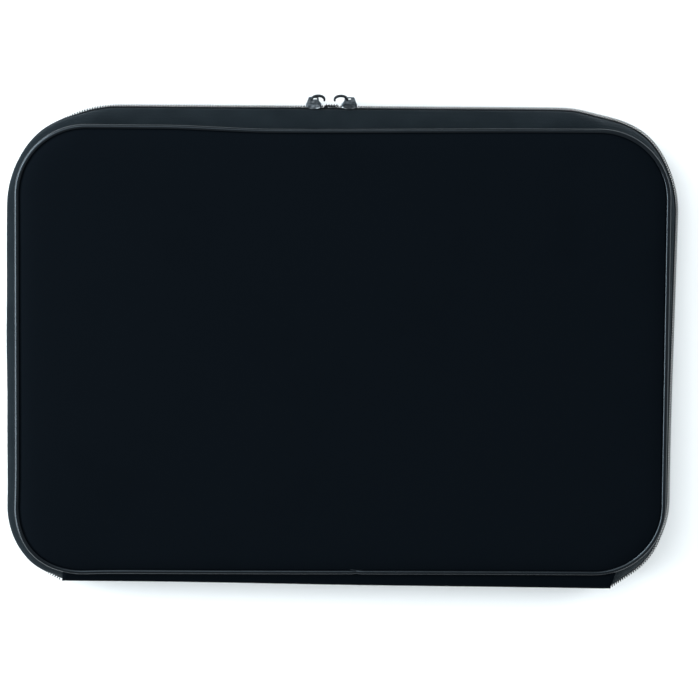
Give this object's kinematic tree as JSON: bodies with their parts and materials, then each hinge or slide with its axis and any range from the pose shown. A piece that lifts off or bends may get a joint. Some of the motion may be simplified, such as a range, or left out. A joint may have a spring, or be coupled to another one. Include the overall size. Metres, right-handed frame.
{
  "type": "laptop sleeve",
  "caption": "Padded zipped laptop sleeve with piped edges that opens flat like a book on a cloth spine, closed by a coil zip round the other edges.",
  "frame": {"origin": "centre of the back panel's flat face, on the surface that the sleeve lies on", "axes": "+X along the sleeve's width, +Y towards the zipped top edge, +Z through its thickness, out of the front panel"},
  "size_m": [0.3874, 0.2837, 0.03],
  "materials": {
    "panel_cloth": "smooth matt knitted face cloth",
    "foam": "closed-cell foam",
    "lining": "brushed knitted lining",
    "piping": "satin coated piping",
    "cord": "twisted filler cord",
    "binding": "folded woven binding",
    "zip_tape": "woven zip tape",
    "zip_coil": "nylon coil",
    "spine_cloth": "smooth matt knitted face cloth",
    "slider_metal": "dark nickel plate",
    "pull_metal": "black enamel"
  },
  "bodies": {
    "back_half": {"back_panel_cloth": "panel_cloth", "back_foam": "foam", "back_lining": "lining", "back_piping": "piping", "back_piping_cord": "cord", "back_seam_binding": "binding", "back_zip_tape": "zip_tape", "back_zip_coil": "zip_coil", "back_zip_cord": "cord"},
    "spine": {"spine_cloth": "spine_cloth", "spine_foam": "foam", "spine_lining": "lining"},
    "front_half": {"front_panel_cloth": "panel_cloth", "front_foam": "foam", "front_lining": "lining", "front_piping": "piping", "front_piping_cord": "cord", "front_seam_binding": "binding", "front_zip_tape": "zip_tape", "front_zip_coil": "zip_coil", "front_zip_cord": "cord"},
    "slider_left": {"slider_body_left": "slider_metal", "slider_crown_left": "slider_metal"},
    "slider_right": {"slider_body_right": "slider_metal", "slider_crown_right": "slider_metal"},
    "pull_left": {"pull_left": "pull_metal"},
    "pull_right": {"pull_right": "pull_metal"}
  },
  "joints": [
    {"name": "spine_fold", "type": "hinge", "parent": "back_half", "child": "spine", "pos_m": [0, -0.1366, 0.0043], "axis": [1, 0, 0], "range_deg": [0, 90]},
    {"name": "lid_fold", "type": "hinge", "parent": "spine", "child": "front_half", "pos_m": [0, -0.1366, 0.0257], "axis": [1, 0, 0], "range_deg": [0, 90]},
    {"name": "slider_left_run", "type": "slide", "parent": "back_half", "child": "slider_left", "axis": [-1, 0, 0], "range_m": [-0.001, 0.1]},
    {"name": "slider_right_run", "type": "slide", "parent": "back_half", "child": "slider_right", "axis": [1, 0, 0], "range_m": [-0.001, 0.112]},
    {"name": "pull_left_swing", "type": "hinge", "parent": "slider_left", "child": "pull_left", "pos_m": [-0.0183, 0.1457, 0.015], "axis": [0, 0, 1], "range_deg": [-8, 140]},
    {"name": "pull_right_swing", "type": "hinge", "parent": "slider_right", "child": "pull_right", "pos_m": [0.0021, 0.1457, 0.015], "axis": [0, 0, -1], "range_deg": [-8, 140]}
  ],
  "couplings": [
    {"joint": "lid_fold", "follows": "spine_fold", "ratio": 1}
  ]
}
